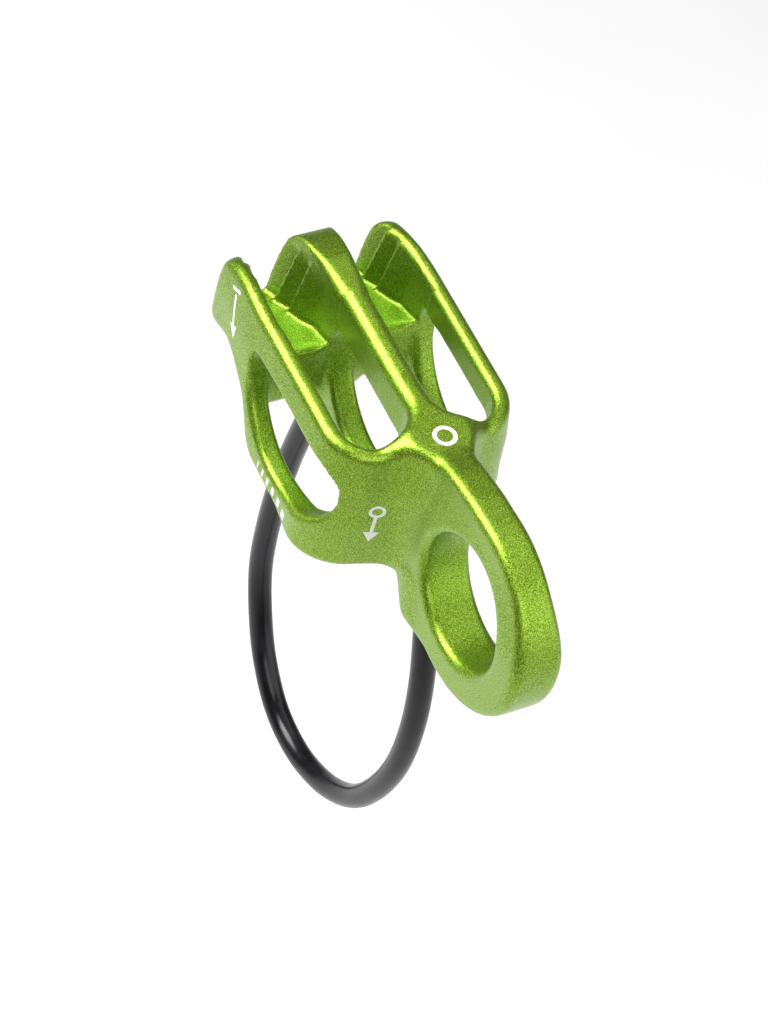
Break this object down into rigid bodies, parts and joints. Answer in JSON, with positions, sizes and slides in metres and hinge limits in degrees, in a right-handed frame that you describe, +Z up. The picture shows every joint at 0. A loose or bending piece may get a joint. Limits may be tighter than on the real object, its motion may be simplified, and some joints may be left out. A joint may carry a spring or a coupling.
{
  "type": "belay device",
  "caption": "Guide-mode tube belay device with toothed rope slots, side windows, an anchor eye and a coated wire keeper loop.",
  "frame": {"origin": "centre of the anchor eye, in the mirror plane", "axes": "+Z up out of the rope slots, +Y along the body from the anchor eye to the toothed grooves, +X across the two slots"},
  "size_m": [0.0352, 0.0892, 0.1125],
  "materials": {
    "body": "fine bead-blasted, lime-green anodised",
    "keeper_jacket": "smooth black plastic, semi-gloss",
    "wire": "bright drawn steel wire",
    "ferrule": "swaged steel"
  },
  "bodies": {
    "forging": {"body": "body", "ferrule_back": "ferrule", "ferrule_front": "ferrule"},
    "keeper": {"keeper_jacket": "keeper_jacket", "wire_core": "wire", "wire_strand_1": "wire", "wire_strand_2": "wire", "wire_strand_3": "wire", "wire_strand_4": "wire", "wire_strand_5": "wire", "wire_strand_6": "wire"}
  },
  "joints": [
    {"name": "keeper_swing", "type": "hinge", "parent": "forging", "child": "keeper", "pos_m": [0, 0.0545, -0.0124], "axis": [0, -0.9906, -0.1369], "range_deg": [-35, 35], "stiffness_Nm_per_rad": 0.02}
  ]
}
